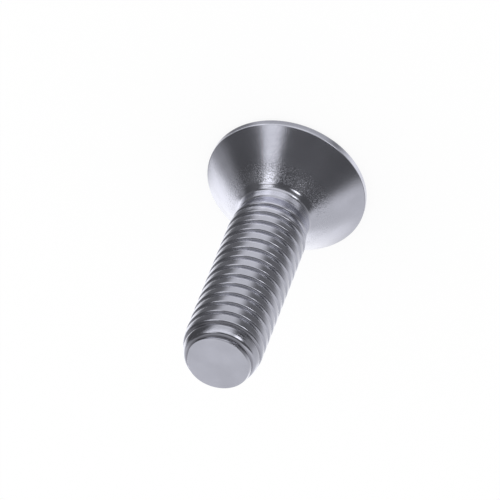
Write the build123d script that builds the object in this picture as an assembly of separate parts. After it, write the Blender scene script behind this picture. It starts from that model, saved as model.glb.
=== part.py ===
from build123d import *
import math
import os

# Countersunk socket screw: metric thread, 90 degree head, hexagon socket.
# One piece of steel. The head and its socket are forged from wire, the end is
# pointed, and the thread is rolled. Millimetres. The screw stands on the flat face
# of its head: the origin is the centre of that face, and +Z runs along the shank.

# --- Overall ---
overall_length = 20.0         # flat face of the head to the end of the point

# --- Head ---
head_diameter = 11.9          # over the rim
rim_height = 0.6              # short straight band between the flat face and the cone
countersink_angle = 90.0      # included angle of the cone
face_edge_round = 0.15        # rounded corner between the flat face and the rim
cone_edge_round = 0.2         # rounded corner between the rim and the cone

# --- Hexagon socket ---
socket_across_flats = 4.05    # a 4 mm key with its clearance
socket_depth = 2.4            # straight walls, from the flat face
socket_floor_angle = 120.0    # included angle of the hollow cone under the walls
socket_mouth_bevel = 0.12     # how far the bevelled mouth stands out past the corners
socket_mouth_angle = 120.0    # included angle of that bevel

# --- Neck, between the cone and the thread ---
neck_allowance = 0.68         # the neck keeps the wire's size, this much under the thread's
neck_length = 0.8             # from the cone to the foot of the taper
neck_fillet = 0.8             # hollow curve where the cone meets the neck
taper_length = 1.5            # over which rolling has raised the crest from the neck

# --- Thread: ISO 60 degree form, right hand ---
thread_nominal_diameter = 6.0
thread_pitch = 1.0
crest_allowance = 0.2         # how far a rolled crest's diameter stays under the nominal
thread_flank_angle = 60.0     # included angle of the groove
root_round_share = 0.144      # radius of the groove's round bottom, in pitches
first_full_groove = 0.67      # from the foot of the taper to the first groove at full depth
run_out_turns = 0.8           # turns over which the groove fades out towards the head
run_out_clearance = 0.1       # how far the cutter stands off the neck by then

# --- Point ---
point_undercut = 0.1          # how far the flat end's diameter stays under the root's
point_chamfer_angle = 22.0    # slope of the chamfer against the axis

# --- Room that the cutting tools take past the surfaces they cut ---
tool_overshoot = 0.1

# Worked out from the sizes above.
head_radius = head_diameter / 2
neck_radius = (thread_nominal_diameter - neck_allowance) / 2
crest_radius = (thread_nominal_diameter - crest_allowance) / 2
cone_slope = math.tan(math.radians(countersink_angle / 2))
cone_end = rim_height + (head_radius - neck_radius) / cone_slope
neck_end = cone_end + neck_length
crest_start = neck_end + taper_length
chamfer_slope = math.tan(math.radians(point_chamfer_angle))

# The groove is a V with a round bottom. Its flanks would meet at sharp_radius.
half_flank_angle = math.radians(thread_flank_angle / 2)
flank_slope = math.tan(half_flank_angle)
triangle_height = thread_pitch / 2 / flank_slope
sharp_radius = thread_nominal_diameter / 2 - triangle_height * 7 / 8
root_round = root_round_share * thread_pitch
round_centre_radius = sharp_radius + root_round / math.sin(half_flank_angle)
root_radius = round_centre_radius - root_round
point_radius = root_radius - point_undercut / 2

# Where the groove is at its full depth, and how its cutter leaves the blank.
full_depth_start = neck_end + first_full_groove
run_out_rise = neck_radius + run_out_clearance - root_radius
groove_end = overall_length + 2 * thread_pitch
bar_end = groove_end + thread_pitch


def turned(*points):
    """A solid turned about the axis from an outline of (radius, height) points."""
    outline = Polyline(*points, close=True)
    return revolve(Plane.XZ * make_face(outline), Axis.Z)


def corner(body, radius, height):
    """The circular edge of a body that lies nearest to a radius and a height."""
    circles = body.edges().filter_by(GeomType.CIRCLE)
    return circles.sort_by(lambda edge: abs(edge.radius - radius) + abs(edge.center().Z - height))[0]


def blank():
    """The headed blank before threading, with spare bar past the point."""
    body = turned(
        (0, 0),
        (head_radius, 0),
        (head_radius, rim_height),
        (neck_radius, cone_end),
        (neck_radius, neck_end),
        (crest_radius, crest_start),
        (crest_radius, bar_end),
        (0, bar_end),
    )
    body = fillet(corner(body, head_radius, 0), face_edge_round)
    body = fillet(corner(body, head_radius, rim_height), cone_edge_round)
    return fillet(corner(body, neck_radius, cone_end), neck_fillet)


def groove_section():
    """The groove's outline where it first has its full depth, cut by the XZ plane."""
    tangent_radius = round_centre_radius - root_round * math.sin(half_flank_angle)
    tangent_half_width = root_round * math.cos(half_flank_angle)
    outer_radius = crest_radius + tool_overshoot
    outer_half_width = (outer_radius - sharp_radius) * flank_slope
    low_outer = (outer_radius, full_depth_start - outer_half_width)
    low_tangent = (tangent_radius, full_depth_start - tangent_half_width)
    bottom = (root_radius, full_depth_start)
    high_tangent = (tangent_radius, full_depth_start + tangent_half_width)
    high_outer = (outer_radius, full_depth_start + outer_half_width)
    outline = Line(low_outer, low_tangent) + ThreePointArc(low_tangent, bottom, high_tangent)
    outline += Line(high_tangent, high_outer) + Line(high_outer, low_outer)
    return Plane.XZ * make_face(outline)


def full_groove():
    """The part of the groove that has its full depth, run on past the point."""
    path = Helix(
        thread_pitch,
        groove_end - full_depth_start,
        crest_radius,
        center=(0, 0, full_depth_start),
    )
    return sweep(groove_section(), path=path, is_frenet=True)


def run_out_groove():
    """The stretch that fades: the same groove, drawn outwards towards the head.

    It is swept upwards as a left-hand groove, then mirrored down onto the start of
    the full groove, which makes it right-hand again.
    """
    run_out_height = run_out_turns * thread_pitch
    run_out_slope = run_out_rise / run_out_height
    path = Helix(
        thread_pitch,
        run_out_height,
        crest_radius,
        center=(0, 0, full_depth_start),
        cone_angle=math.degrees(math.atan(run_out_slope)),
        lefthand=True,
    )
    rising = sweep(groove_section(), path=path, is_frenet=True)
    return mirror(rising, about=Plane.XY.offset(full_depth_start))


def point_cutter():
    """What pointing takes off: the spare bar, and a ring that leaves the chamfer."""
    outer_radius = crest_radius + thread_pitch
    ring_depth = (outer_radius - point_radius) / chamfer_slope
    return turned(
        (0, overall_length),
        (point_radius, overall_length),
        (outer_radius, overall_length - ring_depth),
        (outer_radius, bar_end + thread_pitch),
        (0, bar_end + thread_pitch),
    )


def socket_cutter():
    """The space of the hexagon socket: straight walls, hollow floor, bevelled mouth."""
    flat_radius = socket_across_flats / 2
    corner_radius = flat_radius / math.cos(math.pi / 6)
    mouth_radius = corner_radius + socket_mouth_bevel
    mouth_depth = mouth_radius / math.tan(math.radians(socket_mouth_angle / 2))
    floor_depth = flat_radius / math.tan(math.radians(socket_floor_angle / 2))
    walls = extrude(RegularPolygon(flat_radius, 6, major_radius=False), socket_depth)
    floor = turned((0, socket_depth), (flat_radius, socket_depth), (0, socket_depth + floor_depth))
    mouth = turned((0, 0), (mouth_radius, 0), (0, mouth_depth))
    return walls + floor + mouth


def countersunk_screw():
    """The finished screw: the blank, threaded, pointed and with its socket."""
    body = blank() - full_groove() - run_out_groove()
    body = body - point_cutter()
    return body - socket_cutter()


os.makedirs("parts", exist_ok=True)
export_step(countersunk_screw(), "parts/countersunk_screw.step")
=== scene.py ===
import bpy
import bmesh
import math
from mathutils import Matrix, Vector


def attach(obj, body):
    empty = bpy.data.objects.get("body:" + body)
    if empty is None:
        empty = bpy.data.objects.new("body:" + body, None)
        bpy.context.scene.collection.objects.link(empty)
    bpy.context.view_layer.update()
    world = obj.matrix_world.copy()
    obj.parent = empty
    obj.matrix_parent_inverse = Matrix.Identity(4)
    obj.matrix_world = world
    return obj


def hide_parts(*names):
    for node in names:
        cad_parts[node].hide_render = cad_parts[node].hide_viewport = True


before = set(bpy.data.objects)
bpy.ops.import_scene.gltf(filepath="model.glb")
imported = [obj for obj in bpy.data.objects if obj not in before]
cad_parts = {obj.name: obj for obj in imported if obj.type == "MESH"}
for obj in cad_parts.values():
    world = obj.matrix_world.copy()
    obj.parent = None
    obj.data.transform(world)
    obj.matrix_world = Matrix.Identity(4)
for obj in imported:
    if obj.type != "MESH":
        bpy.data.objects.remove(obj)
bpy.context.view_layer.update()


# The screw. One piece of stainless wire: the countersunk head and its hexagon socket are
# struck cold, the end is pointed, and the thread is rolled between flat dies, so that its
# grooves are burnished and its crests stay broad and rounded.
MM = 0.001                   # sizes below are millimetres
LENGTH = 20.0                # flat face of the head to the end of the point
HEAD_RADIUS = 5.96
RIM_HEIGHT = 0.55            # straight band between the flat face and the cone
FACE_EDGE = 0.15             # how far the rounding reaches from the rim's lower corner
CONE_EDGE = 0.06             # and from the corner between the rim and the cone
NECK_RADIUS = 2.66
RING_START = 2.99            # radius where the cone rises to the die's ring mark
RING_HOLLOW = 0.22           # reach of the hollow curve there
RING_TOP = (2.925, 0.065)    # radius of the ring's edge, and how far it is above the cone
RING_FOOT = (2.88, 0.038)    # and the same for the foot of its outer side
RING_EDGE = 0.012            # reach of the rounding at both
RING_MARKS = ((94, 14), (141, 20))   # where the mark is strong, and its reach, in degrees
FAINT_MARK = 0.15            # share of the mark that goes all the way round
NECK_SLOPE = 1.2             # how steeply the ring falls to the neck
NECK_FILLET = 0.31           # reach of the hollow curve between the ring and the neck
THREAD_START = 4.25          # where the rows of the thread begin, on the plain neck
NECK_END = 4.69              # where rolling starts to raise the crest
CREST_RADIUS = 2.9
CREST_FULL = 6.19            # where it is fully raised
PITCH = 1.0
SHARP_RADIUS = 2.64          # where the flanks of the groove would meet
FLANK_ANGLE = math.radians(30)   # of each flank, from square across the axis
ROOT_ROUND = 0.04            # radius of the groove's round bottom
HEAD_ROUND = 0.40            # radius of the crest's edge on its head side
TIP_ROUND = 0.17             # and on its tip side
FULL_DEPTH = 5.36            # height of the groove's middle where it is first full depth
RUN_OUT_TURNS = 0.8          # the groove fades out over this part of a turn
POINT_RADIUS = 2.36          # radius of the flat end before its edge is rounded
POINT_SLOPE = math.tan(math.radians(22))
POINT_BLEND = 0.3            # softness of the corner between the crests and the chamfer
END_DEPTH = 1.15             # depth of the groove at the flat end, as a share of the full depth
END_RUN = 1.0                # and the length over which it gets there
POINT_EDGE = 0.05            # reach of the rounding round the flat end
SOCKET_FLAT = 2.025          # half of the width across the flats
SOCKET_DEPTH = 2.4           # of the straight walls
SOCKET_CORNER = 2.31         # radius of the hexagon's corners, slightly blunt
SOCKET_MOUTH = 2.4583        # radius of the bevelled mouth on the flat face
SOCKET_SLOPE = math.tan(math.radians(60))   # of the bevel and the hollow floor, to the axis
FLOOR_LEDGE = 0.06           # level strip between the walls and the hollow floor
MOUTH_LEDGE = 0.06           # and from the mouth to the next row on the flat face
SOCKET_EDGE = 0.03           # reach of the rounding at the foot of the walls and at the mouth
BEVEL_EDGE = 0.02            # and between the walls and the bevel
COLUMNS = 144                # a multiple of six, so that the hexagon's corners get one
FIRST_TURN = -3              # the turns of the groove that the rows are laid out for, counted
LAST_TURN = 16               # from the first one of full depth

cone_apex = RIM_HEIGHT + HEAD_RADIUS
root_half = ROOT_ROUND * math.cos(FLANK_ANGLE)
flank_slope = math.tan(FLANK_ANGLE)
thread_end = LENGTH - POINT_EDGE


def groove_reach(rounding):
    """How far the groove's mouth reaches from its middle, on a side with this rounding."""
    return (CREST_RADIUS + rounding - SHARP_RADIUS) * flank_slope


def flank_reach(rounding):
    """How far the straight flank reaches, to where the crest's rounded edge begins."""
    return groove_reach(rounding) - rounding * math.cos(FLANK_ANGLE)


def side_rows(rounding):
    """Axial distances of the rows on one side of the groove's middle."""
    reach = groove_reach(rounding)
    flank = flank_reach(rounding)
    rows = [root_half / 2, root_half, (root_half + flank) / 2, flank]
    rows += [
        reach - rounding * math.sin(math.radians(angle)) for angle in (48, 36, 24, 12, 0)
    ]
    rows += [(reach + 0.5) / 2]
    return rows


tip_side = side_rows(TIP_ROUND)
head_side = side_rows(HEAD_ROUND)
block_rows = [-0.5] + [-offset for offset in tip_side[::-1]] + [0.0] + head_side


def blend_corner(before, corner, after, reach, steps=4):
    """Points of a rounded corner between two straight runs of (radius, height).

    The rounding takes no more than 0.48 of either run, so that two of them never meet.
    """
    points = []
    ends = []
    for other in (before, after):
        run = math.hypot(other[0] - corner[0], other[1] - corner[1])
        share = min(reach / run, 0.48) if run > 1e-9 else 0.0
        ends.append([corner[k] + (other[k] - corner[k]) * share for k in (0, 1)])
    for i in range(steps):
        t = i / (steps - 1)
        points.append([
            (1 - t) ** 2 * ends[0][k] + 2 * t * (1 - t) * corner[k] + t * t * ends[1][k]
            for k in (0, 1)
        ])
    return points


def shank_radius(z):
    """The crests' outline: raised from the neck by rolling, and brought in to the point."""
    share = min(max((z - NECK_END) / (CREST_FULL - NECK_END), 0.0), 1.0)
    raised = NECK_RADIUS + (CREST_RADIUS - NECK_RADIUS) * share
    pointed = POINT_RADIUS + (LENGTH - z) * POINT_SLOPE
    gap = (raised - pointed) / POINT_BLEND
    if abs(gap) > 1:
        return min(raised, pointed)
    return (raised + pointed) / 2 - POINT_BLEND * (gap * gap + 1) / 4


def thread_radius(z, turn):
    """The rolled thread at a height, in the column that is a share of a turn round."""
    height = z - FULL_DEPTH - turn * PITCH
    block = round(height / PITCH)
    side = height - block * PITCH
    offset = abs(side)
    rounding = HEAD_ROUND if side > 0 else TIP_ROUND
    reach = groove_reach(rounding)
    if offset < root_half:
        wall = SHARP_RADIUS + 2 * ROOT_ROUND - math.sqrt(ROOT_ROUND ** 2 - offset ** 2)
    elif offset < flank_reach(rounding):
        wall = SHARP_RADIUS + offset / flank_slope
    elif offset < reach:
        wall = CREST_RADIUS - rounding + math.sqrt(rounding ** 2 - (reach - offset) ** 2)
    else:
        wall = CREST_RADIUS
    run_out = min(max(1 + (turn + block) / RUN_OUT_TURNS, 0.0), 1.0)
    run_off = 1 + (END_DEPTH - 1) * min(max(z - LENGTH + END_RUN, 0.0) / END_RUN, 1.0)
    return shank_radius(z) - (CREST_RADIUS - wall) * run_out * run_off


def thread_column(turn):
    """The rows of one column of the thread; turn is the column's share of a turn."""
    rows = []
    for block in range(FIRST_TURN, LAST_TURN + 1):
        for offset in block_rows:
            z = FULL_DEPTH + (turn + block + offset) * PITCH
            z = min(max(z, THREAD_START), thread_end)
            rows.append([thread_radius(z, turn), z])
    return rows


def hexagon_radius(angle):
    """Distance from the axis to the socket's wall."""
    from_flat = (angle + math.radians(30)) % math.radians(60) - math.radians(30)
    from_flat = abs(math.radians(30) - abs(from_flat))
    return min(SOCKET_FLAT / math.cos(from_flat), SOCKET_CORNER)


def die_mark(turn):
    """How far the ring mark stands out; the dies press unevenly round the neck."""
    mark = FAINT_MARK
    for centre, reach in RING_MARKS:
        distance = min(abs(turn * 360 - centre) / reach, 1.0)
        mark += (1 - FAINT_MARK) * (0.5 + 0.5 * math.cos(math.pi * distance))
    return mark


def outline_rows(corners, between):
    """The rows of an outline that is given by its corners, as (radius, height, rounding)."""
    rows = []
    for index in range(1, len(corners) - 1):
        before, corner, after = corners[index - 1:index + 2]
        if corner[2]:
            rows += blend_corner(before, corner, after, corner[2], 8)
        else:
            rows.append(list(corner[:2]))
        if index < len(corners) - 2:
            start = rows[-1]
            nearest = after
            if after[2]:
                nearest = blend_corner(corner, after, corners[index + 2], after[2], 2)[0]
            for k in range(1, between + 1):
                share = k / (between + 1)
                rows.append([start[i] + (nearest[i] - start[i]) * share for i in (0, 1)])
    return rows


def head_column(turn):
    """The rows of one column from the middle of the socket's floor to the thread."""
    wall = hexagon_radius(turn * 2 * math.pi)
    mouth = (SOCKET_MOUTH - wall) / SOCKET_SLOPE
    floor_edge = SOCKET_FLAT - FLOOR_LEDGE
    floor_rise = floor_edge / SOCKET_SLOPE
    rows = [[0.0, SOCKET_DEPTH + floor_rise]]
    rows += [
        [floor_edge * k / 6, SOCKET_DEPTH + floor_rise * (1 - k / 6)] for k in range(1, 7)
    ]
    half_way = [wall, 1.0]
    rows += blend_corner(
        [floor_edge, SOCKET_DEPTH], [wall, SOCKET_DEPTH], half_way, SOCKET_EDGE
    )
    rows += [[wall, SOCKET_DEPTH + (mouth - SOCKET_DEPTH) * k / 6] for k in range(1, 6)]
    rows += blend_corner(half_way, [wall, mouth], [SOCKET_MOUTH, 0], BEVEL_EDGE)
    rows += blend_corner([wall, mouth], [SOCKET_MOUTH, 0], [HEAD_RADIUS, 0], SOCKET_EDGE)
    mark = die_mark(turn)
    ring_top = cone_apex - RING_TOP[0] + RING_TOP[1] * mark
    ring_foot = cone_apex - RING_FOOT[0] + RING_FOOT[1] * mark
    outer = [
        (SOCKET_MOUTH, 0, 0),
        (SOCKET_MOUTH + MOUTH_LEDGE, 0, 0),
        (HEAD_RADIUS, 0, FACE_EDGE),
        (HEAD_RADIUS, RIM_HEIGHT, CONE_EDGE),
        (RING_START, cone_apex - RING_START, RING_HOLLOW),
        (RING_TOP[0], ring_top, RING_EDGE),
        (RING_FOOT[0], ring_foot, RING_EDGE),
        (NECK_RADIUS, ring_foot + (RING_FOOT[0] - NECK_RADIUS) * NECK_SLOPE, NECK_FILLET),
        (thread_radius(THREAD_START, turn), THREAD_START, 0),
        (NECK_RADIUS, NECK_END, 0),
    ]
    return rows + outline_rows(outer, 5)


def end_column(turn):
    """The rows of one column from the thread over the end's edge to its middle."""
    edge = thread_radius(thread_end, turn)
    rows = blend_corner([edge, LENGTH - 1], [edge, LENGTH], [0.0, LENGTH], POINT_EDGE, 5)
    start = rows[-1][0]
    rows += [[start * (1 - k / 9), LENGTH] for k in range(1, 9)]
    rows.append([0.0, LENGTH])
    return rows


def screw_mesh():
    """The whole skin of the screw as one closed mesh."""
    head, thread, end = [], [], []
    for column in range(COLUMNS):
        turn = column / COLUMNS
        head.append(head_column(turn))
        thread.append(thread_column(turn))
        end.append(end_column(turn))
    mesh = bmesh.new()

    def place(columns):
        """Vertices for columns of (radius, height) rows."""
        placed = []
        for column, rows in enumerate(columns):
            angle = column / COLUMNS * 2 * math.pi
            placed.append([
                mesh.verts.new((
                    radius * math.cos(angle) * MM, radius * math.sin(angle) * MM, height * MM
                ))
                for radius, height in rows
            ])
        return placed

    def skin(placed, shift):
        """Faces between neighbouring columns; the last meets the first this many rows on."""
        for column in range(COLUMNS):
            here = placed[column]
            there = placed[(column + 1) % COLUMNS]
            offset = shift if column == COLUMNS - 1 else 0
            for row in range(len(here) - 1 - offset):
                mesh.faces.new((
                    here[row], there[row + offset], there[row + 1 + offset], here[row + 1]
                ))

    skin(place(head), 0)
    skin(place(thread), len(block_rows))
    skin(place(end), 0)
    bmesh.ops.remove_doubles(mesh, verts=mesh.verts, dist=0.0004 * MM)
    bmesh.ops.dissolve_degenerate(mesh, edges=mesh.edges, dist=0.0003 * MM)
    bmesh.ops.recalc_face_normals(mesh, faces=mesh.faces)
    for face in mesh.faces:
        face.smooth = True
    data = bpy.data.meshes.new("screw")
    mesh.to_mesh(data)
    mesh.free()
    return data


screw = bpy.data.objects.new("screw", screw_mesh())
bpy.context.scene.collection.objects.link(screw)


class Signal:
    """One output of a material's nodes. Sums and products of signals add Math nodes."""

    def __init__(self, tree, socket=None):
        self.tree = tree
        self.socket = socket

    def add(self, kind, settings=None, sockets=None, output=0):
        """Adds a node: its settings first, then the values or links of its sockets."""
        node = self.tree.nodes.new(kind)
        for name, value in (settings or {}).items():
            setattr(node, name, value)
        for name, value in (sockets or {}).items():
            if isinstance(value, Signal):
                self.tree.links.new(value.socket, node.inputs[name])
            else:
                node.inputs[name].default_value = value
        return Signal(self.tree, node.outputs[output]) if len(node.outputs) else None

    def also(self, output):
        """Another output of the node that this signal comes from."""
        return Signal(self.tree, self.socket.node.outputs[output])

    def maths(self, operation, first, second=0.0):
        """A Math node on two values."""
        return self.add("ShaderNodeMath", {"operation": operation}, {0: first, 1: second})

    def __add__(self, other):
        return self.maths("ADD", self, other)

    __radd__ = __add__

    def __sub__(self, other):
        return self.maths("SUBTRACT", self, other)

    def __rsub__(self, other):
        return self.maths("SUBTRACT", other, self)

    def __mul__(self, other):
        return self.maths("MULTIPLY", self, other)

    __rmul__ = __mul__

    def smooth(self, low, high):
        """0 below low and 1 above high, with a soft step between them."""
        return self.add(
            "ShaderNodeMapRange",
            {"interpolation_type": "SMOOTHSTEP"},
            {"Value": self, "From Min": low, "From Max": high},
        )

    def blend(self, low, high):
        """A colour that goes from low to high as this signal goes from 0 to 1."""
        return self.add(
            "ShaderNodeMix", {"data_type": "RGBA"}, {0: self, 6: low, 7: high}, output=2
        )


def new_material(name):
    """An empty material and the Signal that its nodes are added with."""
    material = bpy.data.materials.new(name)
    material.use_nodes = True
    material.node_tree.nodes.clear()
    return material, Signal(material.node_tree)


def bright_steel():
    """Burnished stainless steel, with forging marks round the neck, a painted highlight on the
    ring and painted shade in the last grooves. Sizes in millimetres.
    """
    material, steel = new_material("bright_steel")
    object_place = steel.add("ShaderNodeTexCoord", output="Object")
    place = steel.add(
        "ShaderNodeVectorMath", {"operation": "SCALE"}, {0: object_place, "Scale": 1 / MM}
    )
    x = steel.add("ShaderNodeSeparateXYZ", {}, {0: place})
    y = x.also("Y")
    z = x.also("Z")
    radius = steel.maths("SQRT", x * x + y * y)
    round_axis = steel.maths("ARCTAN2", y, x) * math.degrees(1)

    def spots(scale, detail, rough=0.5, stretch=(1, 1, 1)):
        """Soft noise, with this many spots to a millimetre."""
        stretched = steel.add(
            "ShaderNodeVectorMath", {"operation": "MULTIPLY"}, {0: place, 1: stretch}
        )
        return steel.add(
            "ShaderNodeTexNoise",
            {"noise_dimensions": "3D"},
            {"Vector": stretched, "Scale": scale, "Detail": detail, "Roughness": rough},
        )

    # Where the finish changes. The ring is burnished smoother in two patches by its strong
    # marks, and there its colour is also painted brighter, a painted highlight; the last
    # grooves before the end are painted darker, a painted shade.
    on_cone = 1 - z.smooth(3.7, 4.4)
    near_neck = z.smooth(1.9, 3.3) * radius.smooth(2.95, 3.1)
    burnished = z.smooth(2.4, 3.4) * (1 - z.smooth(3.9, 4.3)) + z.smooth(18.4, 19.2)
    # Two patches on the ring: smoother, and with a painted highlight in their colour.
    rubbed_and_painted_highlight = round_axis.smooth(118, 130) * (1 - round_axis.smooth(156, 174))
    rubbed_and_painted_highlight = rubbed_and_painted_highlight + round_axis.smooth(80, 90) * (1 - round_axis.smooth(98, 108))
    rubbed_and_painted_highlight = rubbed_and_painted_highlight * z.smooth(2.5, 3.3) * (1 - z.smooth(3.75, 3.95))
    # Painted shade: the last grooves before the end get a darker colour.
    outline = steel.maths("MINIMUM", (LENGTH - z) * POINT_SLOPE + POINT_RADIUS, CREST_RADIUS)
    painted_groove_shade = (outline - radius).smooth(0.06, 0.18) * z.smooth(17.3, 19.0)
    painted_groove_shade = painted_groove_shade * (1 - z.smooth(19.9, 19.95))

    # What forging and rolling leave all over it.
    grain = spots(9.0, 3.0, 0.6)
    pits = spots(8.0, 2.0, 0.7).smooth(0.47, 0.63) * near_neck
    waves = spots(0.9, 2.0)
    rolled_lines = spots(1.4, 2.0, 0.6, (0.7, 0.7, 8.0)) * (1 - on_cone)
    cloud = spots(0.35, 3.0).smooth(0.3, 0.7)

    tint = cloud.blend((0.585, 0.592, 0.672, 1.0), (0.665, 0.672, 0.765, 1.0))
    # Painted highlight: a brighter colour in the two rubbed patches on the ring.
    tint = rubbed_and_painted_highlight.blend(tint, (0.88, 0.89, 1.0, 1.0))
    # Painted shade: a darker colour in the last grooves before the end.
    tint = painted_groove_shade.blend(tint, (0.36, 0.36, 0.41, 1.0))
    roughness = 0.18 + grain * 0.08 + pits * (0.13 - rubbed_and_painted_highlight * 0.07) - burnished * 0.06
    height = grain * (0.0018 + on_cone * 0.0018) + pits * 0.004
    height = height + waves * 0.004 + rolled_lines * 0.005
    bump = steel.add(
        "ShaderNodeBump", {}, {"Strength": 1.0, "Distance": MM, "Height": height}
    )
    shader = steel.add(
        "ShaderNodeBsdfPrincipled",
        {},
        {
            "Base Color": tint,
            "Metallic": 1.0,
            "Roughness": roughness,
            "Normal": bump,
        },
    )
    steel.add("ShaderNodeOutputMaterial", {}, {"Surface": shader})
    return material


screw.data.materials.append(bright_steel())
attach(screw, "root")
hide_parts("countersunk_screw")


# The floor. A plain white paper sweep that the screw stands on, head down. It shows white
# to the camera and in the metal, and keeps a part of the screw's soft shadow.
FLOOR_HALF = 3.0             # metres
FLOOR_DROP = 0.02 * MM       # just under the flat face
PAPER_GLOW = 0.85            # share of its white that does not depend on the light
floor_corners = ((-1, -1), (1, -1), (1, 1), (-1, 1))
floor_data = bpy.data.meshes.new("floor")
floor_data.from_pydata(
    [(FLOOR_HALF * x, FLOOR_HALF * y, -FLOOR_DROP) for x, y in floor_corners],
    [],
    [(0, 1, 2, 3)],
)
floor = bpy.data.objects.new("floor", floor_data)
bpy.context.scene.collection.objects.link(floor)
floor_material, paper = new_material("white_sweep")
camera_ray = paper.add("ShaderNodeLightPath", output="Is Camera Ray")
seen = paper.maths("MAXIMUM", camera_ray, camera_ray.also("Is Glossy Ray"))
seen = paper.maths("MAXIMUM", seen, camera_ray.also("Is Transmission Ray"))
white = (1.0, 1.0, 1.0, 1.0)
matt = paper.add("ShaderNodeBsdfDiffuse", {}, {"Color": white})
glow = paper.add("ShaderNodeEmission", {}, {"Color": white, "Strength": 1.0})
surface = paper.add("ShaderNodeMixShader", {}, {0: seen * PAPER_GLOW, 1: matt, 2: glow})
paper.add("ShaderNodeOutputMaterial", {}, {"Surface": surface})
floor_data.materials.append(floor_material)


# The room. Plain white walls all round, far off, which give the floor a soft and even light.
# The metal sees the tent and the card of the next two sections in their place.
world = bpy.data.worlds.new("white_room")
world.use_nodes = True
background = world.node_tree.nodes["Background"]
background.inputs["Color"].default_value = white
background.inputs["Strength"].default_value = 1.0
bpy.context.scene.world = world


# The tent. Grey cloth all round the screw, which only the metal sees: dark towards the
# camera and pale behind the screw and overhead, with a pale strip low down in front and a
# soft lamp on each side of the camera. Azimuths are counted from the camera, in degrees.
CAMERA_AZIMUTH = 110.296
TENT_RADIUS = 0.25           # metres
TENT_GREY = 0.09             # brightness of the dark cloth, where 1 is white


def light_only_metal(thing):
    """Leaves a lighting piece to glossy rays."""
    for ray in ("camera", "diffuse", "shadow", "transmission", "volume_scatter"):
        setattr(thing, "visible_" + ray, False)


def seen_from_axis(cloth):
    """Azimuth and elevation of a lighting piece's points, and their radius in millimetres."""
    place = cloth.add("ShaderNodeTexCoord", output="Object")
    turned = cloth.add(
        "ShaderNodeVectorRotate",
        {"rotation_type": "Z_AXIS"},
        {"Vector": place, "Angle": math.radians(-CAMERA_AZIMUTH)},
    )
    ahead = cloth.add("ShaderNodeSeparateXYZ", {}, {0: turned})
    aside = ahead.also("Y")
    above = ahead.also("Z")
    radius = cloth.maths("SQRT", ahead * ahead + aside * aside)
    azimuth = cloth.maths("ARCTAN2", aside, ahead) * math.degrees(1)
    elevation = cloth.maths("ARCTAN2", above, radius) * math.degrees(1)
    return azimuth, elevation, radius * (1 / MM)


def band(signal, low, high, soft):
    """1 between low and high, with soft edges of this width."""
    rise = signal.smooth(low - soft / 2, low + soft / 2)
    return rise * (1 - signal.smooth(high - soft / 2, high + soft / 2))


def glow_as(cloth, brightness):
    """Makes the whole of a lighting piece glow, with this brightness."""
    glow = cloth.add("ShaderNodeEmission", {}, {"Color": brightness, "Strength": 1.0})
    cloth.add("ShaderNodeOutputMaterial", {}, {"Surface": glow})


tent_mesh = bmesh.new()
bmesh.ops.create_uvsphere(tent_mesh, u_segments=48, v_segments=24, radius=TENT_RADIUS)
tent_data = bpy.data.meshes.new("tent")
tent_mesh.to_mesh(tent_data)
tent_mesh.free()
tent = bpy.data.objects.new("tent", tent_data)
bpy.context.scene.collection.objects.link(tent)
tent_material, cloth = new_material("tent_cloth")
azimuth, elevation, _ = seen_from_axis(cloth)
overhead = elevation.smooth(52, 68)
left_back = 0.25 * azimuth.smooth(104, 120) + 0.35 * azimuth.smooth(124, 138)
right_edge = azimuth - elevation.smooth(30, 50) * 3
right_back = 0.6 * (1 - right_edge.smooth(-100, -81))
behind = (left_back + right_back) * (1 - elevation.smooth(56, 72))
strip = band(azimuth, -42, 66, 16) * (1 - elevation.smooth(22, 30))
horizon = band(azimuth, -10, 50, 16) * (1 - elevation.smooth(5, 13))
low_right = band(azimuth, -95, -48, 20) * (1 - elevation.smooth(4, 14))
left_lamp = band(azimuth, 32, 60, 8) * band(elevation, 29, 42, 6)
left_foot = band(azimuth, 42, 60, 8) * band(elevation, 14, 27, 6)
right_lamp = band(azimuth, -40, -20, 8) * band(elevation, 0, 18, 6)
brightness = TENT_GREY + 0.27 * overhead + behind
brightness = brightness + 0.62 * strip + 0.3 * horizon + 0.2 * low_right
brightness = brightness + 1.1 * left_lamp + 0.3 * left_foot + 1.2 * right_lamp
glow_as(cloth, brightness)
tent_data.materials.append(tent_material)
light_only_metal(tent)


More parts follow.
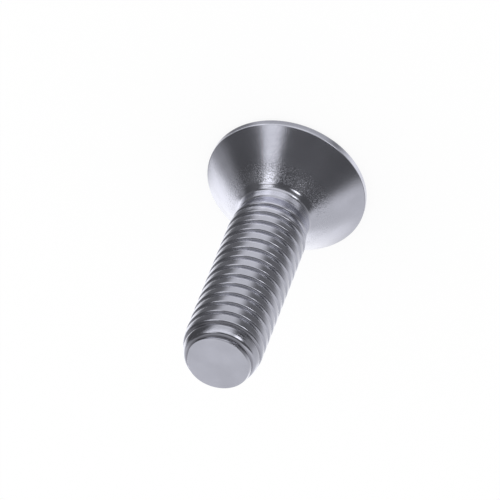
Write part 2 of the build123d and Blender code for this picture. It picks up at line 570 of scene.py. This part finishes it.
# The card. A thin round board on the floor, which only the metal sees: in shade in front of
# the screw, but for a pale patch between two dark ones and a glow close to the head, and
# pale behind it. A narrow ring of it next to the rim has a shade of its own.
CARD_RADIUS = 0.24           # metres
CARD_DROP = 0.01 * MM        # between the floor and the flat face
CARD_SIDES = 96
CARD_GREY = 0.155            # brightness where it is in shade
RIM_GREY = 0.24              # and in the narrow ring
card_rim = [2 * math.pi * k / CARD_SIDES for k in range(CARD_SIDES)]
card_data = bpy.data.meshes.new("shaded_card")
card_data.from_pydata(
    [(CARD_RADIUS * math.cos(a), CARD_RADIUS * math.sin(a), -CARD_DROP) for a in card_rim],
    [],
    [tuple(range(CARD_SIDES))],
)
card = bpy.data.objects.new("shaded_card", card_data)
bpy.context.scene.collection.objects.link(card)
card_material, board = new_material("shaded_board")
azimuth, _, radius = seen_from_axis(board)
past_rim = radius.smooth(6.3, 6.7)
close_by = 1 - radius.smooth(7, 9)
far_out = radius.smooth(25, 45)
front_patch = band(azimuth, -10, 48, 26)
head_glow = 0.42 * band(azimuth, -50, 30, 16) + 0.2 * band(azimuth, -50, -26, 10)
head_glow = head_glow + 1.0 * band(azimuth, 32, 74, 16)
low_right = band(azimuth, -95, -48, 20) * far_out
left_behind = (azimuth - far_out * 16).smooth(102, 132)
right_behind = 1 - azimuth.smooth(-112, -62)
far_right = 1 - azimuth.smooth(-150, -120)
beyond = CARD_GREY - 0.07 * far_out + 0.55 * front_patch + head_glow * close_by
beyond = beyond + 0.2 * low_right + 1.1 * left_behind + 0.6 * right_behind + 0.4 * far_right
by_rim = RIM_GREY + 0.28 * band(azimuth, -18, 44, 12) + 0.8 * (1 - band(azimuth, -32, 73, 24))
glow_as(board, beyond * past_rim + by_rim * (1 - past_rim))
card_data.materials.append(card_material)
light_only_metal(card)


# The camera. It has a long lens, looks down at the standing screw, and is turned round its
# own line of sight so that the head comes to the top of the picture.
CAMERA_PLACE = Vector((-104.8426356, 281.27299707, 319.41978141))
CAMERA_AIM = Vector((0.24073469, -0.65093186, -0.71995453))
CAMERA_ROLL = math.radians(158.29825977)
camera_data = bpy.data.cameras.new("camera")
camera_data.lens = 432.0
camera_data.sensor_width = 36.0
camera_data.clip_start = 0.01
camera_data.clip_end = 20.0
camera = bpy.data.objects.new("camera", camera_data)
bpy.context.scene.collection.objects.link(camera)
forward = CAMERA_AIM.normalized()
level_right = forward.cross(Vector((0, 0, 1))).normalized()
level_up = level_right.cross(forward)
up = math.cos(CAMERA_ROLL) * level_up + math.sin(CAMERA_ROLL) * level_right
right = forward.cross(up)
camera_turn = Matrix((right, up, -forward)).transposed().to_4x4()
camera.matrix_world = Matrix.Translation(CAMERA_PLACE * MM) @ camera_turn
bpy.context.scene.camera = camera
bpy.context.scene.view_settings.view_transform = "Standard"
